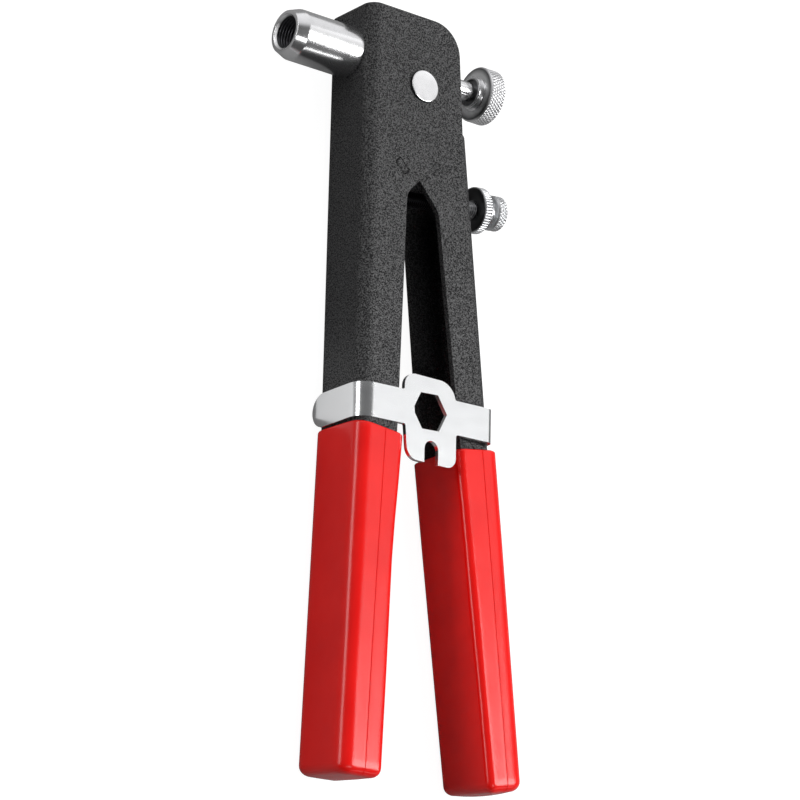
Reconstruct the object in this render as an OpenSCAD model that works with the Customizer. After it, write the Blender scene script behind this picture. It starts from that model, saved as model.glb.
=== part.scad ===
// Hand rivet nut tool: a pressed front frame with a threaded nose, a rear lever nested in it
// on one pivot pin, and a spindle that the lever draws back through a sliding block.
// Frame of the part: origin at the middle of the nose mouth, the nose points to -X,
// the head is at +Y, the handles run to -Y, and +Z is the side that shows the pivot's head.

/* [Nose] */
// Outer diameter of the nose sleeve
nose_d = 16; // [15:0.5:18]
// Length of the nose in front of the frame
nose_len = 24.4; // [20:0.2:30]
// Diameter of the flat ring round the mouth
nose_face_d = 13.6; // [12.5:0.1:14.5]
// Length of the bevel at the mouth
nose_bevel = 3.6; // [1:0.2:5]
// Inner diameter of the nosepiece thread
nose_thread_d = 9.86; // [9:0.02:10.4]
// Depth of the nosepiece thread
nose_thread_depth = 13; // [10:0.5:14]
// Diameter of the bore that guides the spindle
guide_d = 9.2; // [8.4:0.1:9.4]
// Diameter of the shank that passes through the frame
nose_shank_d = 13; // [12:0.2:14]
// Thickness of the nut behind the frame's web
nose_nut_t = 3.4; // [2.5:0.1:4]
// Distance across that nut's flats
nose_nut_flats = 16; // [15:0.1:16.2]

/* [Front frame] */
// Thickness of the pressed sheet
sheet = 1.8; // [1.5:0.1:2]
// Width over both side plates
frame_w = 22; // [21:0.5:26]
// Outer radius of the bends
bend_r = 4; // [3:0.25:5]
// From the pivot to the outer face of the web
web_to_pivot = 20.6; // [19.5:0.2:24]
// From the pivot up to the top edge
head_top = 23; // [21:0.5:28]
// From the pivot back to the rear edge of the head
head_rear = 15; // [13:0.5:18]
// Lean of the head's rear edge
head_lean = 3.7; // [0:0.1:6]
// Radius of the head's rear top corner
head_corner_r = 10; // [4:0.5:12]
// From the pivot down to where the rear edge turns in
head_drop = 13.2; // [10:0.2:16]
// Angle of the slanted edge under the head
slant = 47; // [42:1:52]
// Depth of the arm just under the head
arm_depth = 15.4; // [14.4:0.2:16]
// Depth of the arm at the clip
arm_depth_clip = 13.8; // [13:0.2:14.4]
// Radius in the notch between head and arm
notch_r = 6; // [2:0.5:8]
// From the pivot down to the knee where the arm leans out
knee_drop = 106; // [100:1:112]
// Lean of the gripped arm
arm_lean = 1.8; // [0:0.1:3]
// Length of the gripped arm under the knee
arm_len = 102; // [90:1:120]
// Depth of the arm at its foot
arm_depth_foot = 10; // [9:0.1:11]

/* [Pivot] */
// Diameter of the pivot pin
pivot_d = 7; // [6:0.2:7.6]
// Diameter of the pin's head
pivot_head_d = 10; // [9:0.2:12]
// Height of the pin's head
pivot_head_h = 1; // [0.6:0.1:1.4]
// Length of the pin past the far plate
pivot_tail = 0.9; // [0.8:0.05:1]
// Outer diameter of the retaining clip
pivot_clip_d = 10.6; // [9.6:0.2:12]
// Thickness of the retaining clip
pivot_clip_t = 0.6; // [0.4:0.05:0.6]
// Depth of the clip's groove
groove_depth = 0.7; // [0.4:0.05:0.9]

/* [Stop bar] */
// Length of the bar's end that shows in the plates
bar_long = 5.1; // [4:0.1:5.6]
// Thickness of the bar
bar_thick = 2.5; // [2:0.1:2.8]
// From the pivot forward to the bar
bar_ahead = 7.4; // [7:0.1:8.4]
// From the pivot down to the bar
bar_drop = 27.7; // [26.5:0.1:28]

/* [Rear lever] */
// Lean of the lever's web at rest
lever_lean = 6.4; // [5:0.1:8]
// From the pivot to the outer face of the lever's web
lever_web = 18.75; // [18:0.25:20]
// Side clearance between the lever and the frame
side_gap = 0.25; // [0.2:0.05:0.3]
// Depth of the lever's arm under the head
lever_depth = 14.5; // [13.5:0.1:15.5]
// Depth of the lever's arm at its end
lever_depth_end = 9.9; // [9:0.1:12]
// From the pivot down to the top edge of the web
lever_web_drop = 21.5; // [21:0.5:24]
// From the pivot down to the rear corner of the cheeks
cheek_drop = 13.4; // [13:0.2:15]
// From the pivot down to the lever's shoulder
lever_shoulder = 39; // [38:0.5:42]
// Radius of the lever's shoulder
lever_shoulder_r = 7; // [3:0.5:9]
// Angle of the slanted front edge above the shoulder
lever_slant = 54; // [50:1:58]
// Front limit of the lever's cheeks
cheek_front = 5.5; // [5:0.1:6]
// Radius of the lever round the pivot
lever_boss_r = 8.5; // [7.5:0.25:9]
// Length of the lever under the pivot
lever_len = 209; // [195:1:222]
// Largest opening of the lever, in degrees
lever_open = 40; // [30:1:40]

/* [Draw mechanism] */
// Height of the spindle over the pivot
spindle_height = 9; // [8.8:0.1:9.6]
// Diameter of the spindle's shaft
shaft_d = 6; // [5:0.1:6]
// Running clearance of round fits, on the radius
run_gap = 0.05; // [0.03:0.01:0.08]
// Free gap between faces that move apart
free_gap = 0.3; // [0.2:0.05:0.35]
// Diameter of the trunnion pins
trunnion_d = 5; // [4:0.1:5.4]
// Wall of the lever's cheek round the trunnion slot
slot_wall = 3.4; // [3:0.1:3.8]
// Length of the draw block
block_len = 12; // [10:0.5:12]
// Height of the block over the spindle
block_over = 5.2; // [4:0.1:5.6]
// Height of the block under the spindle
block_under = 4.2; // [3.8:0.1:4.4]
// Thickness of the thrust washers
washer_t = 1; // [0.8:0.1:1.2]
// Gap between the pivot pin and the washers that pass over it
pin_gap = 0.2; // [0.1:0.05:0.4]
// Length of the spindle's collar
collar_len = 4; // [3.5:0.1:5]
// Diameter of the pin through the collar
collar_pin_d = 2; // [1.5:0.1:2.2]
// From the pivot forward to the front end of the spindle
spindle_front = 24; // [23:0.2:24.6]
// Inner diameter of the mandrel thread
mandrel_d = 5; // [4:0.1:6]
// Depth of the mandrel thread
mandrel_depth = 14; // [10:0.5:14.5]

/* [Spindle knob] */
// Diameter of the knob
knob_d = 17.1; // [15:0.1:17.2]
// Thickness of the knob's rim
knob_t = 6; // [4:0.2:9]
// From the pivot back to the knob's front face
knob_back = 28.3; // [28:0.1:31]
// Diameter of the hub on the knob's front face
knob_hub_d = 10.4; // [9:0.2:12]
// Height of the knob's hub
knob_hub_h = 1.5; // [0.5:0.1:2]
// Bevel of the knob's edges
knob_bevel = 0.8; // [0.4:0.1:1.2]

/* [Stop screw] */
// Diameter of the stop screw
screw_d = 5; // [4:0.1:5.2]
// From the pivot down to the screw's axis, along the lever
screw_drop = 32.8; // [32.6:0.1:33.5]
// Diameter of the threaded bush in the lever
bush_d = 10; // [8:0.2:12]
// Length of the threaded bush
bush_len = 5; // [4:0.2:8]
// From the lever's web back to the lock nut
lock_nut_back = 6; // [0.4:0.1:8]
// Diameter of the lock nut
lock_nut_d = 14; // [12:0.2:16]
// Thickness of the lock nut
lock_nut_t = 3.4; // [2.5:0.1:5]
// Diameter of the screw's neck
neck_d = 7.6; // [6:0.2:9]
// Length of the screw's neck
neck_len = 3.3; // [1:0.1:5]
// Diameter of the screw's thumb head
thumb_d = 10.8; // [9:0.2:13]
// Length of the screw's thumb head
thumb_len = 3.6; // [3:0.1:6]

/* [Grips] */
// Wall of the front grip on its front and sides
front_grip_wall = 0.9; // [0.6:0.05:1.2]
// Depth of the front grip at its foot, behind the web's line
front_grip_depth = 14.8; // [14.2:0.1:15.6]
// Extra depth of the front grip at its mouth
front_grip_swell = 1.5; // [0:0.1:2.2]
// From the pivot down to the mouth of the front grip
front_grip_top = 110.8; // [110.4:0.2:114]
// Side wall of the rear grip
rear_grip_wall = 2.65; // [1.5:0.05:3]
// Front wall of the rear grip
rear_grip_front = 2.8; // [1.5:0.1:3.2]
// Rear wall of the rear grip
rear_grip_back = 1.6; // [1:0.1:2.5]
// From the pivot down to the mouth of the rear grip, along the lever
rear_grip_top = 113; // [112.6:0.2:116]
// Thickness of the grips' closed ends
grip_end = 6; // [4:0.5:8]
// Rounding of the grips' closed ends
grip_end_r = 2.2; // [1:0.1:3]
// Corner radius of the grips on the metal's open side
grip_corner_r = 2.8; // [1.5:0.1:4]

/* [Wrench clip] */
// Thickness of the clip's plate
clip_t = 1.4; // [1:0.1:1.6]
// Gap between the clip and the frame
clip_gap = 0.1; // [0.05:0.05:0.2]
// Width of the clip's band
band_w = 10.6; // [9:0.2:12]
// From the pivot down to the band's middle at the front leg
band_drop = 104.1; // [103:0.1:105]
// Slope of the band, in degrees
band_slope = 1.4; // [0:0.1:2]
// From the pivot back to the outer face of the rear lip
lip_back = 28.6; // [27:0.2:29]
// Bend radius of the rear lip
lip_r = 2.4; // [2:0.1:2.6]
// Left edge of the wrench head, from the pivot
head_left = -5.8; // [-6.2:0.1:-5]
// Right edge of the wrench head, from the pivot
head_right = 13.6; // [12.5:0.1:14]
// Height of the wrench head over the band
tab_rise = 5.3; // [3:0.1:6.5]
// Length of the prongs under the band
prong_len = 10.6; // [8:0.1:11.4]
// Where the left prong starts under the band, behind the head's left edge
prong_start = 0.5; // [0:0.1:1]
// Inset of the left prong's tip
prong_inset = 1.6; // [1.2:0.1:3]
// Corner radius of the left prong's tip
prong_r = 4; // [2:0.1:4.4]
// Distance across the flats of the hexagon hole
hex_flats = 11.2; // [9:0.1:11.6]
// Middle of the hexagon hole, from the pivot
hex_back = 3.9; // [3.4:0.1:4.4]
// Width of the open wrench slot
slot_w = 5.2; // [4.6:0.1:5.6]
// Middle of the open wrench slot, from the pivot
slot_back = 4.7; // [4.4:0.1:5]
// Depth of the open wrench slot
slot_depth = 7; // [6.6:0.1:7.4]

/* [Hidden] */
$fn = 64;
arc_steps = 10;
over = 1;

frame_half = frame_w / 2;
frame_inner = frame_half - sheet;
lever_half = frame_inner - side_gap;
lever_inner = lever_half - sheet;
web_face = -web_to_pivot;
web_inner = web_face + sheet;
nose_mouth = web_face - nose_len;
nut_rear = web_inner + nose_nut_t;
inner_r = bend_r - sheet;
nut_side_gap = frame_inner - nose_nut_flats / 2;
nut_seat_half = frame_inner - inner_r;
nut_in_bend = max(inner_r - nut_side_gap, 0);
nut_seat_t = inner_r - sqrt(inner_r * inner_r - nut_in_bend * nut_in_bend) + free_gap;
washer_d = 2 * (spindle_height - pivot_d / 2 - pin_gap);
collar_d = washer_d;
web_window = 2 * (lever_inner - side_gap);
grip_reach = 2 * frame_w;
block_half = lever_inner - free_gap;
shoulder_front = -block_len / 2 - washer_t - free_gap;
collar_front = block_len / 2 + washer_t + free_gap;
knob_rear = knob_back + knob_t;
lock_nut_front = lever_web + lock_nut_back;
neck_front = lock_nut_front + lock_nut_t + free_gap;
thumb_front = neck_front + neck_len;
clip_inner = frame_half + clip_gap;
clip_outer = clip_inner + clip_t;
clip_bend_r = bend_r + clip_gap + clip_t;
clip_leg = web_face - clip_gap;
grip_foot = knee_drop + arm_len;
frame_reach = head_rear + head_drop + web_to_pivot;
powder_coat = [0.2, 0.2, 0.21];
chrome = [0.86, 0.87, 0.88];
zinc = [0.78, 0.79, 0.8];
dark_steel = [0.36, 0.36, 0.37];
grip_red = [0.85, 0.08, 0.07];

// Points of a corner at b between a and c, rounded to radius r with arc_steps chords
function corner(a, b, c, r) = let(
        u = (a - b) / norm(a - b), w = (c - b) / norm(c - b),
        half = acos(u * w) / 2,
        middle = b + (u + w) / norm(u + w) * r / sin(half),
        from = b + u * r / tan(half) - middle,
        to = b + w * r / tan(half) - middle,
        start = atan2(from[1], from[0]),
        swing = atan2(from[0] * to[1] - from[1] * to[0], from * to))
    r <= 0 ? [b] : [for (i = [0:arc_steps])
        middle + r * [cos(start + swing * i / arc_steps), sin(start + swing * i / arc_steps)]];

// Outline through rows of [x, y, radius], each corner rounded to its radius
function rounded(rows) = let(n = len(rows), at = [for (p = rows) [p[0], p[1]]])
    [for (i = [0:n - 1]) each corner(at[(i + n - 1) % n], at[i], at[(i + 1) % n], rows[i][2])];

// Where the trunnion stands in the lever's own frame once the lever has turned by a degrees:
// the involute of a circle of the spindle's height, so the block moves in a constant ratio
function trunnion_at(a) = let(turn = a * PI / 180)
    spindle_height * [sin(a) - turn * cos(a), cos(a) + turn * sin(a)];

// From the pivot's axes to the part's axes
module at_pivot() {
    translate([-nose_mouth, -spindle_height, 0]) children();
}

// From the lever's own axes, with its web upright, to the part's axes
module on_lever() {
    at_pivot() rotate(lever_lean) children();
}

// Along the spindle's axis, with the pivot at x = 0 and local z pointing back
module on_spindle() {
    at_pivot() translate([0, spindle_height, 0]) rotate([0, 90, 0]) children();
}

// Along the stop screw's axis, local z pointing back from the pivot's height
module on_screw() {
    on_lever() translate([0, -screw_drop, 0]) rotate([0, 90, 0]) children();
}

// Round rod from z = a to z = b
module rod(a, b, d) {
    translate([0, 0, a]) cylinder(h = b - a, d = d);
}

// Cone from diameter d1 at z = a to d2 at z = b
module cone(a, b, d1, d2) {
    translate([0, 0, a]) cylinder(h = b - a, d1 = d1, d2 = d2);
}

// Slab between z = -half and z = half
module slab(half) {
    translate([0, 0, -half]) linear_extrude(2 * half) children();
}

// Solid section of a channel: a block from x = 0 to x = depth with two round front corners
module bent_section(depth, width, r) {
    translate([r, -width / 2]) square([depth - r, width]);
    translate([0, r - width / 2]) square([r, width - 2 * r]);
    for (side = [-1, 1]) translate([r, side * (width / 2 - r)]) circle(r);
}

// Channel section: the block less its hollow, open towards +x
module channel_section(depth, width, r) {
    difference() {
        bent_section(depth, width, r);
        translate([sheet, 0]) bent_section(depth, width - 2 * sheet, r - sheet);
    }
}

// A section drawn in x and z, carried along y from low to high
module along_y(low, high) {
    translate([0, high, 0]) rotate([90, 0, 0]) linear_extrude(high - low) children();
}

// Side outline of the frame's head and arm, seen from +Z
module frame_outline() {
    rear_top = head_rear - head_top * tan(head_lean);
    rear_low = head_rear + head_drop * tan(head_lean);
    arm_rear = web_face + arm_depth;
    slant_foot = head_drop + (rear_low - arm_rear) * tan(slant);
    polygon(rounded([
        [web_face, head_top, 0],
        [rear_top, head_top, head_corner_r],
        [rear_low, -head_drop, 1.5],
        [arm_rear, -slant_foot, notch_r],
        [web_face + arm_depth_clip, -knee_drop, 0],
        [web_face + arm_depth_foot, -grip_foot, 0],
        [web_face, -grip_foot, 0]]));
}

// Axes of the front grip: on the web at the knee, turned outwards by its lean
module at_knee() {
    at_pivot() translate([web_face, -knee_drop, 0]) rotate(-arm_lean) children();
}

// The frame without its hollow
module frame_block() {
    at_pivot() intersection() {
        translate([web_face, 0, 0]) along_y(-grip_foot, head_top) bent_section(frame_reach, frame_w, bend_r);
        slab(frame_half) frame_outline();
    }
}

module front_frame() color(powder_coat) {
    difference() {
        frame_block();
        at_pivot() translate([web_inner, 0, 0]) along_y(-grip_foot - over, head_top + over)
            bent_section(frame_reach, frame_w - 2 * sheet, bend_r - sheet);
        at_pivot() rod(-frame_w, frame_w, pivot_d);
        at_pivot() stop_bar_block(frame_w);
        on_spindle() rod(web_face - over, web_inner + over, nose_shank_d);
    }
}

module nose_sleeve() color(chrome) on_spindle() {
    difference() {
        union() {
            cone(nose_mouth, nose_mouth + nose_bevel, nose_face_d, nose_d);
            rod(nose_mouth + nose_bevel, web_face, nose_d);
            rod(web_face, nut_rear, nose_shank_d);
        }
        rod(nose_mouth - over, nose_mouth + nose_thread_depth, nose_thread_d);
        rod(nose_mouth, nut_rear + over, guide_d);
    }
}

module nose_nut() color(zinc) on_spindle() {
    difference() {
        translate([0, 0, web_inner]) rotate(90) cylinder(h = nose_nut_t, d = nose_nut_flats / cos(30), $fn = 6);
        for (side = [0, 1]) mirror([side, 0, 0]) translate([nut_seat_half, -nose_nut_flats, web_inner - over])
            cube([nose_nut_flats, 2 * nose_nut_flats, nut_seat_t + over]);
        rod(web_inner - over, nut_rear + over, nose_shank_d);
    }
}

// The stop bar's section, as a block of the given half length
module stop_bar_block(half) {
    translate([-bar_ahead, -bar_drop, 0]) rotate(-45) slab(half) square([bar_long, bar_thick], center = true);
}

module stop_bar() color(powder_coat) {
    at_pivot() stop_bar_block(frame_half);
}

module pivot_pin() color(chrome) at_pivot() {
    tail = frame_half + pivot_tail;
    difference() {
        union() {
            rod(-tail, frame_half, pivot_d);
            rod(frame_half, frame_half + pivot_head_h, pivot_head_d);
        }
        difference() {
            rod(-frame_half - pivot_clip_t, -frame_half, pivot_d + over);
            rod(-frame_w, frame_w, pivot_d - 2 * groove_depth);
        }
    }
}

module pivot_clip() color(zinc) at_pivot() {
    groove_d = pivot_d - 2 * groove_depth;
    difference() {
        rod(-frame_half - pivot_clip_t, -frame_half, pivot_clip_d);
        rod(-frame_w, frame_w, groove_d);
        translate([-groove_d * 0.4, 0, -frame_w]) cube([groove_d * 0.8, pivot_clip_d, 2 * frame_w]);
    }
}

// Bar with two round corners along the line from p up to q, filled towards +x, or towards -x if turned
module grip_edge(p, q, half, r, turned) {
    lean = atan2(p[0] - q[0], q[1] - p[1]);
    translate([p[0], p[1], 0]) rotate(lean) rotate([0, turned ? 180 : 0, 0])
        along_y(-grip_reach, norm(q - p) + grip_reach) bent_section(grip_reach, 2 * half, r);
}

// Grip between a front line and a rear line, each from its foot to its top, with a rounded foot
module grip_body(front, rear, half, r_front, r_rear) {
    foot = front[0][1];
    top = front[1][1];
    intersection() {
        grip_edge(front[0], front[1], half, r_front, false);
        grip_edge(rear[0], rear[1], half, r_rear, true);
        slab(half + over) polygon(rounded([
            [front[1][0], top, 0],
            [front[0][0], foot, grip_end_r],
            [rear[0][0], foot, grip_end_r],
            [rear[1][0], top, 0]]));
        translate([-grip_reach, 0, 0]) rotate([0, 90, 0]) linear_extrude(2 * grip_reach) polygon(rounded([
            [-half, foot, grip_end_r],
            [half, foot, grip_end_r],
            [half, top, 0],
            [-half, top, 0]]));
    }
}

module front_grip() color(grip_red) {
    top = knee_drop - front_grip_top;
    foot = -arm_len - grip_end;
    half = frame_half + front_grip_wall;
    difference() {
        at_knee() grip_body([[-front_grip_wall, foot], [-front_grip_wall, top]], [
            [front_grip_depth, foot],
            [front_grip_depth + front_grip_swell, top]],
            half, bend_r + front_grip_wall, grip_corner_r);
        frame_block();
    }
}

// Front edge of the lever's arm at distance y under the pivot, in the lever's axes
function lever_front(y) = let(share = (y - lever_shoulder) / (lever_len - lever_shoulder))
    lever_web - lever_depth + share * (lever_depth - lever_depth_end);

// A point given from the pivot, in the lever's own axes
function in_lever(p) = [p[0] * cos(lever_lean) + p[1] * sin(lever_lean),
    p[1] * cos(lever_lean) - p[0] * sin(lever_lean)];

// Side outline of the lever with its cheeks, in the lever's axes
module lever_outline() {
    low = in_lever(trunnion_at(0));
    high = in_lever(trunnion_at(lever_open));
    head_r = trunnion_d / 2 + slot_wall;
    shoulder = lever_front(lever_shoulder);
    slant_top = lever_shoulder - (shoulder + cheek_front) * tan(lever_slant);
    polygon(rounded([
        [lever_web, -cheek_drop, 2.5],
        [lever_boss_r + 1.5, -lever_boss_r * 1.1, 6],
        [high[0] + head_r, high[1] + head_r, head_r * 0.9],
        [low[0] - head_r, high[1] + head_r, head_r * 0.9],
        [-lever_boss_r, 0, 5],
        [-cheek_front, -lever_boss_r * 1.2, 4],
        [-cheek_front, -slant_top, 3],
        [shoulder, -lever_shoulder, lever_shoulder_r],
        [lever_front(lever_len), -lever_len, 0],
        [lever_web, -lever_len, 0]]));
}

// The slot in which the trunnion runs: straight from one end of its path to the other, with round
// ends, and wider than the trunnion by how far the path bows from that line
module trunnion_slot() {
    low = trunnion_at(0);
    high = trunnion_at(lever_open);
    way = (high - low) / norm(high - low);
    sway = trunnion_at(lever_open * 0.6) - low;
    bow = abs(sway[0] * way[1] - sway[1] * way[0]);
    r = trunnion_d / 2 + run_gap + bow;
    lean = atan2(way[1], way[0]);
    steps = 2 * arc_steps;
    polygon(concat(
        [for (i = [0:steps]) low + r * [cos(lean + 90 + 180 * i / steps), sin(lean + 90 + 180 * i / steps)]],
        [for (i = [0:steps]) high + r * [cos(lean - 90 + 180 * i / steps), sin(lean - 90 + 180 * i / steps)]]));
}

module rear_lever() color(powder_coat) {
    difference() {
        on_lever() intersection() {
            translate([lever_web, 0, 0]) rotate([0, 180, 0]) along_y(-lever_len, head_top)
                channel_section(lever_web + lever_boss_r + over, 2 * lever_half, bend_r);
            slab(lever_half) lever_outline();
        }
        on_lever() translate([lever_web - lever_boss_r, -lever_web_drop, -web_window / 2])
            cube([lever_boss_r + over, lever_web_drop, web_window]);
        at_pivot() rod(-frame_w, frame_w, pivot_d + 2 * run_gap);
        at_pivot() slab(frame_w) trunnion_slot();
        on_screw() rod(lever_web - 2 * sheet, lever_web + over, screw_d + 2 * free_gap);
    }
}

module screw_bush() color(zinc) on_screw() {
    rear = lever_web - sheet;
    difference() {
        rod(rear - bush_len, rear, bush_d);
        rod(0, lever_web, screw_d + 2 * run_gap);
    }
}

module rear_grip() color(grip_red) {
    foot = lever_len + grip_end;
    rear = lever_web + rear_grip_back;
    difference() {
        on_lever() grip_body([
            [lever_front(foot) - rear_grip_front, -foot],
            [lever_front(rear_grip_top) - rear_grip_front, -rear_grip_top]], [
            [rear, -foot],
            [rear, -rear_grip_top]],
            lever_half + rear_grip_wall, grip_corner_r, bend_r + rear_grip_back);
        on_lever() intersection() {
            translate([lever_web, 0, 0]) rotate([0, 180, 0]) along_y(-lever_len, 0)
                bent_section(lever_web + lever_boss_r, 2 * lever_half, bend_r);
            slab(lever_half) lever_outline();
        }
    }
}

module stop_screw() color(zinc) on_screw() {
    sag = screw_drop * sin(lever_lean);
    tilt_room = screw_d / 2 * tan(lever_lean);
    tip = (web_inner + free_gap - sag) / cos(lever_lean) + tilt_room;
    cone(tip, tip + over, screw_d - 2 * over, screw_d);
    rod(tip + over, neck_front, screw_d);
    rod(neck_front, thumb_front, neck_d);
    cone(thumb_front, thumb_front + 0.6, thumb_d - 1.2, thumb_d);
    rod(thumb_front + 0.6, thumb_front + thumb_len - 0.6, thumb_d);
    cone(thumb_front + thumb_len - 0.6, thumb_front + thumb_len, thumb_d, thumb_d - 1.2);
}

module lock_nut() color(zinc) on_screw() {
    bevel = 0.5;
    rear = lock_nut_front + lock_nut_t;
    difference() {
        union() {
            cone(lock_nut_front, lock_nut_front + bevel, lock_nut_d - 2 * bevel, lock_nut_d);
            rod(lock_nut_front + bevel, rear - bevel, lock_nut_d);
            cone(rear - bevel, rear, lock_nut_d, lock_nut_d - 2 * bevel);
        }
        rod(lock_nut_front - over, rear + over, screw_d + 2 * run_gap);
    }
}

module draw_block() color(dark_steel) {
    difference() {
        at_pivot() translate([0, spindle_height, 0]) slab(block_half) polygon(rounded([
            [-block_len / 2, -block_under, 0.6],
            [block_len / 2, -block_under, 0.6],
            [block_len / 2, block_over, 3],
            [-block_len / 2, block_over, 3]]));
        on_spindle() rod(-block_len, block_len, shaft_d + 2 * run_gap);
        trunnion_pair(0);
    }
}

// Both trunnions, drawn out of the block by the given length
module trunnion_pair(short) {
    seat = shaft_d / 2 + 0.6;
    for (side = [-1, 1]) at_pivot() translate([0, spindle_height, 0]) mirror([0, 0, side < 0 ? 1 : 0])
        rod(seat, lever_half - short, trunnion_d);
}

module trunnion_pins() color(dark_steel) {
    trunnion_pair(0);
}

module thrust_washers() color(zinc) on_spindle() {
    for (front = [-block_len / 2 - washer_t, block_len / 2]) difference() {
        rod(front, front + washer_t, washer_d);
        rod(front - over, front + washer_t + over, shaft_d + 4 * run_gap);
    }
}

module spindle() color(chrome) on_spindle() {
    difference() {
        union() {
            rod(-spindle_front, shoulder_front, guide_d - 2 * run_gap);
            rod(shoulder_front, knob_rear, shaft_d);
        }
        rod(-spindle_front - over, -spindle_front + mandrel_depth, mandrel_d);
        collar_pin_rod(shaft_d);
    }
}

// The pin that holds the collar, across the spindle
module collar_pin_rod(half) {
    translate([0, 0, collar_front + collar_len / 2]) rotate([90, 0, 0]) rod(-half, half, collar_pin_d);
}

module spindle_collar() color(zinc) on_spindle() {
    difference() {
        rod(collar_front, collar_front + collar_len, collar_d);
        rod(collar_front - over, collar_front + collar_len + over, shaft_d);
        collar_pin_rod(collar_d);
    }
}

module collar_pin() color(dark_steel) on_spindle() {
    collar_pin_rod(sqrt(collar_d * collar_d - collar_pin_d * collar_pin_d) / 2);
}

module spindle_knob() color(chrome) on_spindle() {
    difference() {
        union() {
            cone(knob_back, knob_back + knob_bevel, knob_d - 2 * knob_bevel, knob_d);
            rod(knob_back + knob_bevel, knob_rear - knob_bevel, knob_d);
            cone(knob_rear - knob_bevel, knob_rear, knob_d, knob_d - 2 * knob_bevel);
            rod(knob_back - knob_hub_h, knob_back + over, knob_hub_d);
        }
        rod(knob_back - knob_hub_h - over, knob_rear + over, shaft_d);
        rod(knob_back - knob_hub_h - over, knob_back - knob_hub_h + 0.6, shaft_d + 2.2);
    }
}

// Height of the band's middle line at x, from the pivot
function band_y(x) = -band_drop + (x - web_face) * tan(band_slope);

// Outline of the clip's flat face: the band with its wrench head
module clip_face() {
    start = web_face + bend_r;
    finish = lip_back - lip_r;
    half = band_w / 2;
    hex_y = band_y(hex_back);
    slot_top = hex_y - half - prong_len + slot_depth;
    foot = hex_y - half - prong_len;
    difference() {
        polygon(rounded([
            [start, -band_drop + half, 0],
            [head_left, band_y(head_left) + half, 0.5],
            [head_left, hex_y + half + tab_rise, 4],
            [head_right, hex_y + half + tab_rise, 6],
            [head_right, band_y(head_right) + half, 0.5],
            [finish, band_y(finish) + half, 0],
            [finish, band_y(finish) - half, 0],
            [head_right + 0.4, band_y(head_right) - half, 0.8],
            [head_right + 0.4, foot, 3.4],
            [slot_back + slot_w / 2, foot, 0],
            [slot_back - slot_w / 2, foot, 0],
            [head_left + prong_inset, foot, prong_r],
            [head_left + prong_start, band_y(head_left) - half, 0.5],
            [start, -band_drop - half, 0]]));
        translate([hex_back, hex_y]) rotate(band_slope * 2.5) circle(d = hex_flats / cos(30), $fn = 6);
        translate([slot_back, slot_top - slot_w / 2]) circle(d = slot_w);
        translate([slot_back - slot_w / 2, foot - over])
            square([slot_w, slot_top - slot_w / 2 - foot + over]);
    }
}

// Quarter ring section of a bend, inner radius r - t, between the +x and +y directions
module bend_section(r, t) {
    intersection() {
        difference() {
            circle(r);
            circle(r - t);
        }
        square(r + over);
    }
}

module wrench_clip() color(zinc) at_pivot() {
    half = band_w / 2;
    leg_end = -frame_half + half;
    finish = lip_back - lip_r;
    lip_y = band_y(finish);
    lip_tip = lever_half + free_gap + 0.1;
    translate([0, 0, clip_inner]) linear_extrude(clip_t) clip_face();
    translate([web_face + bend_r, 0, frame_half - bend_r])
        along_y(-band_drop - half, -band_drop + half) mirror([1, 0]) bend_section(clip_bend_r, clip_t);
    translate([clip_leg - clip_t, -band_drop, 0]) rotate([90, 0, 90]) linear_extrude(clip_t) {
        translate([-half, leg_end]) square([band_w, frame_half - bend_r - leg_end]);
        translate([0, leg_end]) circle(half);
    }
    translate([finish, 0, clip_outer - lip_r]) along_y(lip_y - half, lip_y + half) bend_section(lip_r, clip_t);
    translate([lip_back - clip_t, lip_y - half, lip_tip]) cube([clip_t, band_w, clip_outer - lip_r - lip_tip]);
}

front_frame();
nose_sleeve();
nose_nut();
stop_bar();
pivot_pin();
pivot_clip();
front_grip();
rear_lever();
screw_bush();
rear_grip();
stop_screw();
lock_nut();
draw_block();
trunnion_pins();
thrust_washers();
spindle();
spindle_collar();
collar_pin();
spindle_knob();
wrench_clip();
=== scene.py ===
"""Looks of a hand rivet nut tool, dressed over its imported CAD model.

Lengths are in millimetres until a mesh is made, and in metres after that. The part's frame has its
origin in the nose's mouth, with -X out of the nose, +Y towards the head and +Z out of the near side.
"""

import logging
import math
from dataclasses import dataclass, field
from enum import Enum
from typing import Callable, Sequence

import bmesh
import bpy
import numpy as np
from mathutils import Euler, Matrix, Vector

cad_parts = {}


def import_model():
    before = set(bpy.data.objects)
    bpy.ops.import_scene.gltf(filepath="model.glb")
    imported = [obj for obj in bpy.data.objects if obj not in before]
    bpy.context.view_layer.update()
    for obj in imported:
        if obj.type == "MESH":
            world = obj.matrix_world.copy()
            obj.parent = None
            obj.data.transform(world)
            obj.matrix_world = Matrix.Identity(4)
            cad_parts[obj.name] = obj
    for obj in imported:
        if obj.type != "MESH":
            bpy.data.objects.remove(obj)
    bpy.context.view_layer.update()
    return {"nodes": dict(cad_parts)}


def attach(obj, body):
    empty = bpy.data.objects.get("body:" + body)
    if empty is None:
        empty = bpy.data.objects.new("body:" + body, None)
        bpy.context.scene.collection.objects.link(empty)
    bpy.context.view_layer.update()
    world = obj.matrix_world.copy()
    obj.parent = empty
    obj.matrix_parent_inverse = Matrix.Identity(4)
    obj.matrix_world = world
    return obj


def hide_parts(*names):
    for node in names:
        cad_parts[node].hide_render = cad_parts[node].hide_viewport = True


LOG = logging.getLogger("rivet_nut_tool")
MM = 0.001
TURN = 2.0 * math.pi
PAINTED_SHADE = "hollow"  # attribute: painted shade from 0 to 1, high in grooves, bores and faces that lie in shade; above 0 it also roughens
SATIN = 0.12  # hollow value of a surface that is worked rough but gets no painted shade
SAME_POINT = 1e-7  # metres: points of a grid closer than this are one
SAME_CAD_POINT = 1e-6  # metres: the same for the loose triangles of a CAD node
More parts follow.
